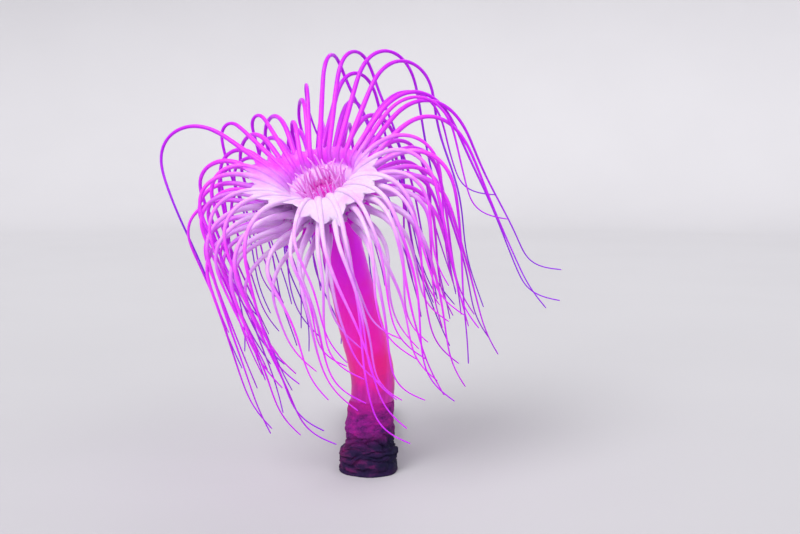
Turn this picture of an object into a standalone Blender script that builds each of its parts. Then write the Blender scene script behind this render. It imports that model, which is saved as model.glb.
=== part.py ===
"""Tube-dwelling anemone (Cerianthus), life size, in metres, +Z up, front towards -Y.

A felt tube stands on the floor and carries a smooth column. The column leans to the left (-X) and
ends in an oral disc that is tilted forwards. The disc's rim is a ring of wedges, and each wedge
grows one long tentacle of every cycle. The tentacles rise, arch over and hang like a fountain.
"""
import math

import bmesh
import bpy
import numpy as np

GAP = 0.0003  # clearance between neighbouring solids

# tube of felt: an upright collar and sleeve, and the rest of it lying on the floor behind
COLLAR_RADIUS = 0.0205
COLLAR_TOP = 0.0190
COLLAR_BACK = 0.0178  # the collar's flat back face, where the lying tube starts
COLLAR_PROFILE = [(0.0, 0.99), (0.25, 1.0), (0.70, 0.98), (1.0, 0.92)]  # shares of its height and radius
COLLAR_LOBES = [(3, -1.6, 0.025), (7, 0.0, 0.012)]  # number round it, turn, and share of its radius
COLLAR_SIDES = 28
SLEEVE_RADIUS = 0.0168
SLEEVE_TOP = 0.0520
SLEEVE_PROFILE = [(0.0, 1.08), (0.22, 1.01), (0.70, 0.97), (1.0, 0.985)]
REAR_LENGTH = 0.170
REAR_RADII = (0.0178, 0.0165)  # half widths at its two ends
REAR_HEIGHTS = (0.0240, 0.0215)
REAR_SWAY = -0.004  # how far its end lies to the left
REAR_CUT = 0.5  # where it is parted
REAR_END = 0.86  # where it starts to close
REAR_CLOSED = 0.9  # how far it closes
REAR_MIDDLE = 0.36  # height of its section's middle, as a share: the underside sags flat on the floor
REAR_SIDES = 16
REAR_RINGS = 5

# column: its spine above the sleeve, with the last point worked out from the disc
COLUMN_RADII = [(0.0, 0.0156), (0.25, 0.0160), (0.45, 0.0159), (0.75, 0.0148), (1.0, 0.0151)]  # along it
SPINE = [(0.000, 0.000, 0.000), (0.001, 0.000, 0.038), (0.0026, 0.000, 0.068), (-0.0066, -0.001, 0.108),
         (-0.0150, -0.003, 0.146)]
COLUMN_CUTS = (0.30, 0.68)  # where the column is parted, as shares of its length
RINGS_PER_LENGTH = 4

# oral disc and its rim, as (radius, height) in the disc's own frame: a wide funnel on the column's top
DISC_CENTRE = (-0.0280, -0.014, 0.1945)
TILT_FORWARD = 34.0
TILT_LEFT = 15.0
RIM = [(0.0154, -0.0110), (0.0260, -0.0046), (0.0300, -0.0006), (0.0302, 0.0046), (0.0266, 0.0082),
       (0.0214, 0.0094)]
RIM_FOOT = 0.0118  # inner radius of the rim's underside
DISC_GAP = 0.00036  # clearance between the disc and the rim, at their corners
DISC_DISH = [(0.0172, 0.0060), (0.0134, 0.0034), (0.0098, 0.0020), (0.0064, 0.0022)]
MOUTH = [(0.0046, 0.0022, 0.0014), (0.0038, 0.0014, -0.0020)]  # half length, half width, height

# crown of tentacles
SECTORS = 24
CYCLES = 4
SEED = 1000
STEP = 0.002  # of the walk along a tentacle
ALTERNATE = 3.5  # degrees by which a cycle turns aside, one way and then the other, into its neighbours' gaps
# by compass point (degrees, 0 right, 90 back): rise of the outer and the inner cycle in degrees, straight
# stem, bend of the outer and the inner cycle, height of the tip, drift to the right
COMPASS = [
    (0, 4, 52, 0.014, 0.054, 0.084, 0.095, 0.06),
    (45, 24, 64, 0.020, 0.060, 0.098, 0.085, 0.10),
    (90, 36, 80, 0.026, 0.058, 0.098, 0.085, 0.16),
    (135, 22, 50, 0.026, 0.058, 0.073, 0.080, 0.30),
    (180, -2, 28, 0.016, 0.065, 0.077, 0.050, 0.54),
    (225, -24, 2, 0.014, 0.063, 0.080, 0.045, 0.46),
    (270, -36, -24, 0.009, 0.042, 0.054, 0.050, 0.24),
    (315, -20, 10, 0.011, 0.048, 0.066, 0.085, 0.04),
]
# the tall and far-reaching ones, by (sector, cycle): rise, turn, stem, bend, tip height, drift, curl
LEADERS = {
    (12, 1): (2, 4, 0.014, 0.068, 0.060, 0.48, 0.0),
    (10, 3): (34, 4, 0.050, 0.092, 0.070, 0.50, 0.0),
    (9, 3): (34, -8, 0.060, 0.034, 0.100, 0.30, 0.1),
    (8, 3): (42, -10, 0.052, 0.034, 0.110, 0.25, 0.1),
    (7, 3): (60, -14, 0.026, 0.044, 0.120, 0.20, 0.0),
    (6, 3): (74, -10, 0.040, 0.062, 0.172, 0.32, 0.2),
    (5, 3): (82, -24, 0.055, 0.064, 0.110, 0.32, 0.2),
    (5, 2): (70, -46, 0.046, 0.068, 0.110, 0.20, 0.2),
    (4, 3): (78, -18, 0.055, 0.072, 0.100, 0.20, 0.1),
    (3, 3): (72, -24, 0.054, 0.084, 0.090, 0.12, 0.0),
    (2, 3): (65, -4, 0.051, 0.088, 0.080, 0.14, 0.3),
    (2, 2): (58, -6, 0.031, 0.092, 0.172, 0.16, 1.5),
    (1, 3): (55, -3, 0.034, 0.094, 0.100, 0.34, 1.2),
    (1, 2): (52, -4, 0.032, 0.090, 0.120, 0.37, 1.4),
    (0, 3): (56, 4, 0.036, 0.080, 0.160, 0.14, 1.3),
    (0, 2): (46, 6, 0.030, 0.078, 0.110, 0.32, 0.3),
}
LONGEST = 0.29
ROOTED = 0.016  # over which a tentacle turns from its facet's normal to its own course
FALL = -84.0  # degrees, at the end of the bend
HANG = (0.45, 0.50)  # start and length of the change to hanging, as shares of the bend
RIPPLE = 0.10  # wavelength of the waves in its hanging part
CURLED = 0.040  # of a tentacle's end
CURL_LIFT = 0.6
FRONT_CURL = 0.6  # more of a curl in the tentacles at the front
SEGMENT = 0.0245  # length of a straight run in a tentacle
FEWEST = 7  # runs in a tentacle
BEND_WEIGHT = 0.9  # how strongly runs are shortened where it bends
ROOT_RADIUS = (0.0029, 0.0029, 0.0028, 0.0027)  # half diagonals at the root, by cycle
ROOT_ROOM = 0.0021  # kept clear round the root itself, which is the whole facet
TIP_RADIUS = 0.00055
TAPER = 1.9

# spreading, which sets the tentacles clear of each other
CLEARANCE = 0.0004
SPREAD_ROUNDS = 150
NEARBY = 0.008  # ends of two runs further apart than this aren't compared
PUSH = 0.35  # share of an overlap that one round takes away
LONGEST_PUSH = 0.002
EASING = 0.35  # share of a push that is passed on to the next points
FIRST_FREE = 0.4  # how freely the first point after a root moves
SKIN_ROOM = 0.001  # kept clear round the column

# labial tentacles, round the mouth
LABIAL_LENGTH = 0.0175
LABIAL_RADIUS = 0.0009
LABIAL_TAPER = 0.35
LABIAL_SPLAY = (16.0, 2.0)  # degrees from the disc's axis, for the outer and the inner ring
LABIAL_LEAN = (0.3, 1.7)  # share of that splay at the root and at the tip
LABIAL_BOW = 34.0  # degrees by which one may bow out or in, towards its tip
LABIAL_TWIST = 60.0  # degrees by which one may turn to a side, towards its tip
LABIAL_SEED = 1700
LABIAL_RUNS = 3
LABIAL_RINGS = 2


# ---------------------------------------------------------------- curves
def unit(v):
    v = np.asarray(v, float)
    return v / np.linalg.norm(v)


def smooth(x):
    x = min(max(x, 0.0), 1.0)
    return x * x * (3 - 2 * x)


def ring_frame(normal):
    """Two axes across a ring, the first towards +X, and the ring's normal."""
    first = unit(np.cross([0, 1, 0], normal))
    return np.stack([first, np.cross(normal, first), normal])


def disc_normal():
    left, forward = math.radians(TILT_LEFT), math.radians(TILT_FORWARD)
    return unit([-math.sin(left), -math.sin(forward) * math.cos(left), math.cos(forward) * math.cos(left)])


DISC = ring_frame(disc_normal())


def disc_point(azimuth, radius, height):
    a = math.radians(azimuth)
    return np.array(DISC_CENTRE) + np.array([radius * math.cos(a), radius * math.sin(a), height]) @ DISC


def disc_direction(azimuth, outwards, upwards):
    a = math.radians(azimuth)
    return unit(np.array([outwards * math.cos(a), outwards * math.sin(a), upwards]) @ DISC)


def spine_points():
    top = disc_point(0, 0, RIM[0][1] - GAP)
    return [np.array(p) for p in SPINE] + [top]


def spine(share):
    """Point and direction of the column's spine: a Catmull-Rom curve that ends along the disc's axis."""
    points = spine_points()
    points = [2 * points[0] - points[1]] + points + [points[-1] + disc_normal() * 0.035]
    spans = len(points) - 3
    i = min(int(share * spans), spans - 1)
    t = share * spans - i
    a, b, c, d = points[i:i + 4]
    place = 0.5 * (2 * b + (c - a) * t + (2 * a - 5 * b + 4 * c - d) * t**2 + (3 * b - a - 3 * c + d) * t**3)
    slope = 0.5 * ((c - a) + 2 * (2 * a - 5 * b + 4 * c - d) * t + 3 * (3 * b - a - 3 * c + d) * t**2)
    return place, unit(slope)


def column_radius(share):
    return np.interp(share, *zip(*COLUMN_RADII))


# ---------------------------------------------------------------- the crown's tentacles, as centre lines
def compass(azimuth):
    """Habit of a tentacle at this azimuth, smoothly between the compass points."""
    step = 360 / len(COMPASS)
    i = int(azimuth // step) % len(COMPASS)
    t = smooth(azimuth % step / step)
    here, there = np.array(COMPASS[i][1:]), np.array(COMPASS[(i + 1) % len(COMPASS)][1:])
    return here * (1 - t) + there * t


def habit(sector, cycle):
    """How one tentacle grows: its angles in degrees, its lengths, and its small irregularities."""
    random = np.random.default_rng(SEED + sector * 7 + cycle * 131)
    azimuth = 360 / SECTORS * (sector + 0.5)
    outer, inner, stem, bend_outer, bend_inner, tip, drift = compass(azimuth)
    share = cycle / (CYCLES - 1)
    grown = dict(
        azimuth=azimuth,
        turn=(ALTERNATE if cycle % 2 else -ALTERNATE) + random.uniform(-3, 3),
        rise=outer + (inner - outer) * share + random.uniform(-6, 6),
        stem=stem + random.uniform(-0.004, 0.004),
        bend=(bend_outer + (bend_inner - bend_outer) * share) * random.uniform(0.88, 1.12),
        tip=tip + random.uniform(-0.025, 0.045),
        drift=drift + random.uniform(-0.10, 0.12),
        sway=random.uniform(-0.10, 0.10),
        wave=random.uniform(0.04, 0.26),
        phase=random.uniform(0, 2 * math.pi),
        curl=random.uniform(-0.2, 0.4) + FRONT_CURL * max(0.0, -math.sin(math.radians(azimuth))),
        side=random.uniform(-8, 8),
    )
    leader = LEADERS.get((sector, cycle))
    if leader:
        grown.update(zip(("rise", "turn", "stem", "bend", "tip", "drift", "curl"), leader))
    return grown


def facet(sector, cycle):
    """Centre and normal of the rim's facet that this tentacle grows from."""
    azimuth = 360 / SECTORS * (sector + 0.5)
    (r0, h0), (r1, h1) = RIM[cycle + 1], RIM[cycle + 2]
    half = math.cos(math.pi / SECTORS)
    centre = disc_point(azimuth, (r0 + r1) / 2 * half, (h0 + h1) / 2)
    return centre, disc_direction(azimuth, h1 - h0, (r0 - r1) * half)


def walk(sector, cycle):
    """Centre line of a tentacle as a walk of equal steps: stem, arch, and a hanging end."""
    g = habit(sector, cycle)
    place, normal = facet(sector, cycle)
    outwards = disc_direction(g["azimuth"], 1, 0)
    heading = math.atan2(outwards[1], outwards[0]) + math.radians(g["turn"])
    rise, fall = math.radians(g["rise"]), math.radians(FALL)
    line = [place]
    gone, ended = 0.0, 0.0
    while gone < LONGEST and ended < CURLED:
        slope = rise + (fall - rise) * smooth((gone - g["stem"]) / g["bend"])
        course = heading + math.radians(g["side"]) * smooth(gone / (g["stem"] + g["bend"]))
        flat = np.array([math.cos(course), math.sin(course), 0.0])
        across = np.array([-flat[1], flat[0], 0.0])
        way = flat * math.cos(slope) + np.array([0, 0, math.sin(slope)])
        rooted = smooth(1 - gone / ROOTED)
        way = unit(way * (1 - rooted) + normal * rooted)
        hang = smooth((gone - g["stem"] - HANG[0] * g["bend"]) / (HANG[1] * g["bend"]))
        ripple = g["wave"] * math.sin((gone - g["stem"]) / RIPPLE * 2 * math.pi + g["phase"])
        way = way + hang * (np.array([g["drift"], g["sway"], 0.0]) + ripple * across)
        way = way + smooth(ended / CURLED) * g["curl"] * np.array([1.0, 0.0, CURL_LIFT])
        place = place + unit(way) * STEP
        line.append(place)
        gone += STEP
        if ended or (hang == 1 and place[2] < g["tip"] + CURLED):
            ended += STEP
    return np.array(line)


def sample(line):
    """Points along a fine line, closer together where it bends, and their shares of its length."""
    legs = np.diff(line, axis=0)
    lengths = np.linalg.norm(legs, axis=1)
    ways = legs / lengths[:, None]
    turns = np.zeros(len(legs))
    turns[1:] = np.arccos(np.clip((ways[1:] * ways[:-1]).sum(1), -1, 1))
    weight = lengths / lengths.sum() + BEND_WEIGHT * turns / max(turns.sum(), 1.0)
    measure = np.concatenate([[0], np.cumsum(weight)])
    runs = max(FEWEST, round(lengths.sum() / SEGMENT))
    wanted = np.linspace(0, measure[-1], runs + 1)
    along = np.concatenate([[0], np.cumsum(lengths)])
    shares = np.interp(wanted, measure, along) / along[-1]
    places = np.stack([np.interp(shares * along[-1], along, line[:, k]) for k in range(3)], axis=1)
    return places, shares


def radius_at(share, cycle):
    return TIP_RADIUS + (ROOT_RADIUS[cycle] - TIP_RADIUS) * (1 - share) ** TAPER


def labial_line(sector, ring):
    """A short tentacle of the disc, in its outer (0) or inner (1) ring."""
    random = np.random.default_rng(LABIAL_SEED + sector + ring * SECTORS)
    azimuth = 360 / SECTORS * (sector + 0.5)
    (r0, h0), (r1, h1) = DISC_DISH[ring], DISC_DISH[ring + 1]
    place = disc_point(azimuth, (r0 + r1) / 2 * math.cos(math.pi / SECTORS), (h0 + h1) / 2)
    azimuth += random.uniform(-8, 8)
    splay = LABIAL_SPLAY[ring] + random.uniform(-7, 7)
    bow, twist = LABIAL_BOW * random.uniform(-1, 1), LABIAL_TWIST * random.uniform(-1, 1)
    run = LABIAL_LENGTH * random.uniform(0.75, 1.1) / LABIAL_RUNS
    line = [place]
    for k, lean in enumerate(np.linspace(*LABIAL_LEAN, LABIAL_RUNS)):
        bent = (k / (LABIAL_RUNS - 1)) ** 2
        leaning = math.radians(splay * lean + bow * bent)
        way = disc_direction(azimuth + twist * bent, math.sin(leaning), math.cos(leaning))
        line.append(line[-1] + way * run)
    return np.array(line)


def labial_radii():
    return np.array([LABIAL_RADIUS * (1 - LABIAL_TAPER * k / LABIAL_RUNS) for k in range(LABIAL_RUNS + 1)])


def closest(a0, a1, b0, b1):
    """Shares along two sets of segments where each pair comes closest."""
    u, v, w = a1 - a0, b1 - b0, a0 - b0
    uu, uv, vv = (u * u).sum(1), (u * v).sum(1), (v * v).sum(1)
    uw, vw = (u * w).sum(1), (v * w).sum(1)
    bottom = np.maximum(uu * vv - uv * uv, 1e-16)
    s = np.clip((uv * vw - vv * uw) / bottom, 0, 1)
    t = np.clip((uv * s + vw) / np.maximum(vv, 1e-16), 0, 1)
    s = np.clip((uv * t - uw) / np.maximum(uu, 1e-16), 0, 1)
    return s, t


def spread(lines, radii, fixed):
    """Push lines apart until each keeps clear of the others by its radius. Roots and fixed lines stay."""
    owner = np.concatenate([[k] * len(line) for k, line in enumerate(lines)])
    points = np.concatenate(lines)
    radius = np.concatenate(radii)
    order = np.concatenate([np.arange(len(line)) for line in lines])
    start = np.flatnonzero(owner[:-1] == owner[1:])
    free = np.where(order == 0, 0.0, np.where(order == 1, FIRST_FREE, 1.0))
    free[owner >= len(lines) - fixed] = 0.0
    first, second = np.triu_indices(len(start), 1)
    apart = owner[start[first]] != owner[start[second]]
    movable = (owner[start[first]] < len(lines) - fixed) | (owner[start[second]] < len(lines) - fixed)
    first, second = start[first[apart & movable]], start[second[apart & movable]]
    inner = (order > 0) & (np.append(owner[1:], -1) == owner)
    for _ in range(SPREAD_ROUNDS):
        middle = (points[:-1] + points[1:]) / 2
        reach = np.linalg.norm(points[1:] - points[:-1], axis=1) / 2
        near = ((middle[first] - middle[second]) ** 2).sum(1) < (reach[first] + reach[second] + NEARBY) ** 2
        a, b = first[near], second[near]
        s, t = closest(points[a], points[a + 1], points[b], points[b + 1])
        pa = points[a] + (points[a + 1] - points[a]) * s[:, None]
        pb = points[b] + (points[b + 1] - points[b]) * t[:, None]
        gap = pa - pb
        far = np.maximum(np.linalg.norm(gap, axis=1), 1e-7)
        ra = radius[a] + (radius[a + 1] - radius[a]) * s
        rb = radius[b] + (radius[b + 1] - radius[b]) * t
        short = ra + rb + CLEARANCE - far
        hit = short > 0
        if not hit.any():
            break
        a, b, s, t = a[hit], b[hit], s[hit], t[hit]
        push = (gap[hit] / far[hit][:, None]) * short[hit][:, None] * PUSH
        move = np.zeros_like(points)
        np.add.at(move, a, push * (1 - s)[:, None])
        np.add.at(move, a + 1, push * s[:, None])
        np.add.at(move, b, -push * (1 - t)[:, None])
        np.add.at(move, b + 1, -push * t[:, None])
        size = np.linalg.norm(move, axis=1)
        move *= np.minimum(1.0, LONGEST_PUSH / np.maximum(size, 1e-9))[:, None]
        eased = move.copy()
        eased[1:-1] += np.where(inner[1:-1, None], EASING * (move[:-2] + move[2:]), 0)
        points = points + eased * free[:, None]
    ends = np.cumsum([len(line) for line in lines])[:-1]
    return np.split(points, ends)


def crown():
    """Centre line and radii of every tentacle, set apart, by (sector, cycle). The labial ones' two rings
    count as further cycles."""
    keys, lines, radii = [], [], []
    for sector in range(SECTORS):
        for cycle in range(CYCLES):
            places, shares = sample(walk(sector, cycle))
            keys.append((sector, cycle))
            lines.append(places)
            radii.append(np.array([ROOT_ROOM] + [radius_at(share, cycle) for share in shares[1:]]))
        for ring in range(LABIAL_RINGS):
            keys.append((sector, CYCLES + ring))
            lines.append(labial_line(sector, ring))
            radii.append(labial_radii())
    along = np.linspace(0, 1, 9)
    lines.append(np.array([spine(share)[0] for share in along]))
    radii.append(np.array([column_radius(share) + SKIN_ROOM for share in along]))
    apart = spread(lines, radii, fixed=1)
    return {key: (line, radius) for key, line, radius in zip(keys, apart, radii)}


# ---------------------------------------------------------------- solids
def material(name, colour, roughness):
    made = bpy.data.materials.new(name)
    made.use_nodes = True
    shader = made.node_tree.nodes["Principled BSDF"]
    shader.inputs["Base Color"].default_value = (*colour, 1.0)
    shader.inputs["Roughness"].default_value = roughness
    made.diffuse_color = (*colour, 1.0)
    return made


def place_object(name, bm, finish, parent):
    bmesh.ops.recalc_face_normals(bm, faces=bm.faces)
    mesh = bpy.data.meshes.new(name)
    bm.to_mesh(mesh)
    bm.free()
    mesh.materials.append(finish)
    mesh.shade_smooth()
    mesh.set_sharp_from_angle(angle=math.radians(60))
    made = bpy.data.objects.new(name, mesh)
    made.parent = parent
    bpy.context.scene.collection.objects.link(made)
    return made


def new_ring(bm, places):
    return [bm.verts.new(place) for place in places]


def bridge(bm, lower, upper, leave=()):
    """Quads between two rings of the same size, apart from those that something else grows from."""
    for k in range(len(lower)):
        if k not in leave:
            m = (k + 1) % len(lower)
            bm.faces.new((lower[k], lower[m], upper[m], upper[k]))


def loft(bm, rings):
    """A closed body through rings of points."""
    made = [new_ring(bm, ring) for ring in rings]
    for lower, upper in zip(made, made[1:]):
        bridge(bm, lower, upper)
    bm.faces.new(reversed(made[0]))
    bm.faces.new(made[-1])


def grow(bm, root, line, radii, across):
    """Extrude a four-sided tube from four vertices along a line, and close its tip."""
    ways = [unit(line[1] - line[0])]
    ways += [unit(unit(b - a) + unit(c - b)) for a, b, c in zip(line, line[1:], line[2:])]
    ways.append(unit(line[-1] - line[-2]))
    signs = []
    for vert in root:
        arm = np.array(vert.co) - line[0]
        signs.append((np.sign(arm @ across), np.sign(arm @ np.cross(ways[0], across))))
    last = root
    for place, way, radius in zip(line[1:], ways[1:], radii[1:]):
        across = unit(across - way * (across @ way))
        over = np.cross(way, across)
        half = radius / math.sqrt(2)
        ring = new_ring(bm, [place + half * (i * across + j * over) for i, j in signs])
        bridge(bm, last, ring)
        last = ring
    bm.faces.new(last)


def round_ring(centre, normal, radius, sides):
    axes = ring_frame(normal)
    turn = [2 * math.pi * k / sides for k in range(sides)]
    return [centre + radius * (math.cos(a) * axes[0] + math.sin(a) * axes[1]) for a in turn]


def collar(parent, finish):
    """Wrinkled ring of felt round the foot: a few soft lobes, and a flat back against the lying tube."""
    bm = bmesh.new()
    rings = []
    for height, share in COLLAR_PROFILE:
        ring = []
        for k in range(COLLAR_SIDES):
            a = 2 * math.pi * k / COLLAR_SIDES
            lobes = sum(size * math.sin(count * a + turn) for count, turn, size in COLLAR_LOBES)
            radius = COLLAR_RADIUS * share * (1 + lobes)
            ring.append((radius * math.cos(a), min(radius * math.sin(a), COLLAR_BACK), height * COLLAR_TOP))
        rings.append(ring)
    loft(bm, rings)
    return place_object("tube_collar", bm, finish, parent)


def share_at(height):
    """Share of the spine that lies below this height."""
    low, high = 0.0, 1.0
    for _ in range(40):
        middle = (low + high) / 2
        low, high = (middle, high) if spine(middle)[0][2] < height else (low, middle)
    return low


def sleeve(parent, finish):
    """Thin upper tube that clings to the column, with a slightly wider lip."""
    bm = bmesh.new()
    rings = []
    bottom = COLLAR_TOP + GAP
    for share, width in SLEEVE_PROFILE:
        centre, _ = spine(share_at(bottom + (SLEEVE_TOP - bottom) * share))
        rings.append(round_ring(centre, np.array([0, 0, 1.0]), SLEEVE_RADIUS * width, SECTORS))
    loft(bm, rings)
    return place_object("tube_sleeve", bm, finish, parent)


def rear_ring(share):
    """Section of the lying tube: low and round, with a flat underside, closing to a blunt end."""
    width = REAR_RADII[0] + (REAR_RADII[1] - REAR_RADII[0]) * share
    height = REAR_HEIGHTS[0] + (REAR_HEIGHTS[1] - REAR_HEIGHTS[0]) * share
    closing = math.sqrt(1 - max(0.0, (share - REAR_END) / (1 - REAR_END)) ** 2 * REAR_CLOSED)
    centre_x = REAR_SWAY * share**2
    y = COLLAR_BACK + GAP + REAR_LENGTH * share
    ring = []
    for k in range(REAR_SIDES):
        a = 2 * math.pi * (k / REAR_SIDES - 0.25)
        z = max(0.0, height * (REAR_MIDDLE + (1 - REAR_MIDDLE) * math.sin(a)))
        x = centre_x + width * closing * math.cos(a)
        ring.append((x, y, height * REAR_MIDDLE * (1 - closing) + z * closing))
    return ring


def rear_length(name, start, end, parent, finish):
    bm = bmesh.new()
    steps = [math.sin(math.pi / 2 * k / REAR_RINGS) for k in range(REAR_RINGS + 1)]
    rings = [rear_ring(start + (end - start) * step) for step in steps]
    loft(bm, rings)
    return place_object(name, bm, finish, parent)


def column_ring(share, shift=0.0):
    """Ring round the spine, level at the sleeve and along the disc's plane at the top."""
    start = share_at(SLEEVE_TOP + GAP)
    centre, way = spine(start + (1 - start) * share)
    if share == 0:
        way = np.array([0, 0, 1.0])
    if share == 1:
        way = disc_normal()
    return round_ring(centre + way * shift, way, column_radius(share), SECTORS)


def column_length(name, start, end, parent, finish):
    """A length of the column. Where two lengths meet, each stops half a gap short of the cut."""
    bm = bmesh.new()
    rings = []
    for k in range(RINGS_PER_LENGTH + 1):
        share = start + (end - start) * k / RINGS_PER_LENGTH
        shift = GAP / 2 if k == 0 and start > 0 else -GAP / 2 if k == RINGS_PER_LENGTH and end < 1 else 0
        rings.append(column_ring(share, shift))
    loft(bm, rings)
    return place_object(name, bm, finish, parent)


def disc_ring(radius, height):
    return [disc_point(360 * k / SECTORS, radius, height) for k in range(SECTORS)]


def mouth_ring(half_length, half_width, height):
    ring = []
    for k in range(SECTORS):
        a = 2 * math.pi * k / SECTORS
        offset = np.array([half_width * math.cos(a), half_length * math.sin(a), height])
        ring.append(np.array(DISC_CENTRE) + offset @ DISC)
    return ring


def oral_disc(tentacles, parent, finish):
    """Dished disc with its mouth, and the labial tentacles that grow from it in two rings."""
    bm = bmesh.new()
    bottom = new_ring(bm, disc_ring(RIM_FOOT - DISC_GAP, RIM[0][1]))
    edge = new_ring(bm, disc_ring(RIM[-1][0] - DISC_GAP, RIM[-1][1]))
    rings = [new_ring(bm, disc_ring(radius, height)) for radius, height in DISC_DISH]
    mouth = [new_ring(bm, mouth_ring(*oval)) for oval in MOUTH]
    bm.faces.new(reversed(bottom))
    bridge(bm, bottom, edge)
    bridge(bm, edge, rings[0])
    for lower, upper in zip(rings[LABIAL_RINGS:] + mouth, rings[LABIAL_RINGS + 1:] + mouth):
        bridge(bm, lower, upper)
    bm.faces.new(mouth[-1])
    for ring in range(LABIAL_RINGS):
        low, high = rings[ring:ring + 2]
        for sector in range(SECTORS):
            m = (sector + 1) % SECTORS
            root = [low[sector], low[m], high[m], high[sector]]
            grow(bm, root, *tentacles[sector, CYCLES + ring], across=unit(root[1].co - root[0].co))
    return place_object("oral_disc", bm, finish, parent)


def crown_wedge(sector, tentacles, parent, finish):
    """One wedge of the disc's rim with its tentacles, one to a facet."""
    bm = bmesh.new()
    profile = RIM + [(RIM_FOOT, RIM[0][1])]
    middle = 360 / SECTORS * (sector + 0.5)
    sides = []
    for edge in (-1, 1):
        azimuth = middle + edge * 180 / SECTORS
        inwards = disc_direction(azimuth - edge * 90, 1, 0) * GAP / 2
        sides.append(new_ring(bm, [disc_point(azimuth, r, h) + inwards for r, h in profile]))
    bm.faces.new(reversed(sides[0]))
    bm.faces.new(sides[1])
    bridge(bm, sides[0], sides[1], leave=range(1, 1 + CYCLES))
    across = disc_direction(middle + 90, 1, 0)
    for cycle in range(CYCLES):
        k = cycle + 1
        root = [sides[0][k], sides[1][k], sides[1][k + 1], sides[0][k + 1]]
        grow(bm, root, *tentacles[sector, cycle], across=across)
    return place_object(f"crown_{sector + 1:02d}", bm, finish, parent)


def clear_scene():
    for thing in list(bpy.data.objects):
        bpy.data.objects.remove(thing, do_unlink=True)


def build():
    clear_scene()
    animal = bpy.data.objects.new("anemone", None)
    bpy.context.scene.collection.objects.link(animal)
    felt = material("felt", (0.045, 0.022, 0.045), 0.9)
    skin = material("column skin", (0.80, 0.03, 0.35), 0.45)
    pale = material("disc skin", (0.90, 0.62, 0.86), 0.45)
    lilac = material("tentacle skin", (0.80, 0.30, 0.80), 0.4)
    tentacles = crown()
    collar(animal, felt)
    sleeve(animal, felt)
    rear_length("tube_rear_near", 0.0, REAR_CUT, animal, felt)
    rear_length("tube_rear_far", REAR_CUT + GAP / REAR_LENGTH, 1.0, animal, felt)
    cuts = (0.0, *COLUMN_CUTS, 1.0)
    for name, start, end in zip(("column_lower", "column_middle", "column_upper"), cuts, cuts[1:]):
        column_length(name, start, end, animal, skin)
    oral_disc(tentacles, animal, pale)
    for sector in range(SECTORS):
        crown_wedge(sector, tentacles, animal, lilac)


build()
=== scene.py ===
"""Looks of the tube-dwelling anemone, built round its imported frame, in metres, +Z up, front towards -Y.

One seamless skin covers the column, the oral disc and the crown of tentacles. Its cage grows from the same
curves as the solids, and is subdivided. One piece of felt covers the tube. Every colour is procedural.
"""
import math

import bmesh
import bpy
import numpy as np
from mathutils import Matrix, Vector, noise


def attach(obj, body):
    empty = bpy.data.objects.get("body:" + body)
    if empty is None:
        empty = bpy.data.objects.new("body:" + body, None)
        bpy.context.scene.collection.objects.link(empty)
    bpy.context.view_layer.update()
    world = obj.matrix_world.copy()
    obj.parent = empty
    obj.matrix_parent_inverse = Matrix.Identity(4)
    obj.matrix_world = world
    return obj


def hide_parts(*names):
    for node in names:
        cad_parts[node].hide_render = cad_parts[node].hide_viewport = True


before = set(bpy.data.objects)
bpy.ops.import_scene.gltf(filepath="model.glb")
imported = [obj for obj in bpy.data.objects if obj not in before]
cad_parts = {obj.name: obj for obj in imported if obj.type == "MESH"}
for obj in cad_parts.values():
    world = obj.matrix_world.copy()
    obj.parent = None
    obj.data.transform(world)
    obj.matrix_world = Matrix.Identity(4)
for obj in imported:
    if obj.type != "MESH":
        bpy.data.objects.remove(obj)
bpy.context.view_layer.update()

# ---------------- the solids' sizes
GAP = 0.0003  # clearance between neighbouring solids

# the felt tube: an upright collar and sleeve, and the rest of it lying on the floor behind
COLLAR_RADIUS = 0.0205
COLLAR_TOP = 0.0190
COLLAR_BACK = 0.0178  # its flat back, where the lying tube starts
COLLAR_PROFILE = [(0.0, 0.99), (0.25, 1.0), (0.70, 0.98), (1.0, 0.92)]  # shares of its height and radius
COLLAR_LOBES = [(3, -1.6, 0.025), (7, 0.0, 0.012)]  # number round it, turn, and share of its radius
SLEEVE_RADIUS = 0.0168
SLEEVE_TOP = 0.0520
SLEEVE_PROFILE = [(0.0, 1.08), (0.22, 1.01), (0.70, 0.97), (1.0, 0.985)]
REAR_LENGTH = 0.170
REAR_RADII = (0.0178, 0.0165)  # half widths at its two ends
REAR_HEIGHTS = (0.0240, 0.0215)
REAR_SWAY = -0.004  # how far its end lies to the left
REAR_END = 0.86  # where it starts to close
REAR_CLOSED = 0.9  # how far it closes
REAR_MIDDLE = 0.36  # height of its section's middle, as a share

# column: its spine above the sleeve, with the last point worked out from the disc
COLUMN_RADII = [(0.0, 0.0156), (0.25, 0.0160), (0.45, 0.0159), (0.75, 0.0148), (1.0, 0.0151)]
SPINE = [(0.000, 0.000, 0.000), (0.001, 0.000, 0.038), (0.0026, 0.000, 0.068), (-0.0066, -0.001, 0.108),
         (-0.0150, -0.003, 0.146)]
SPINE_END = 0.035  # how strongly it turns into the disc's axis

# oral disc and its rim, as (radius, height) in the disc's own frame: a wide funnel on the column's top
DISC_CENTRE = (-0.0280, -0.014, 0.1945)
TILT_FORWARD = 34.0
TILT_LEFT = 15.0
RIM = [(0.0154, -0.0110), (0.0260, -0.0046), (0.0300, -0.0006), (0.0302, 0.0046), (0.0266, 0.0082),
       (0.0214, 0.0094)]
DISC_DISH = [(0.0172, 0.0060), (0.0134, 0.0034), (0.0098, 0.0020), (0.0064, 0.0022)]
MOUTH = [(0.0046, 0.0022, 0.0014), (0.0038, 0.0014, -0.0020)]  # half length, half width, height

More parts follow.
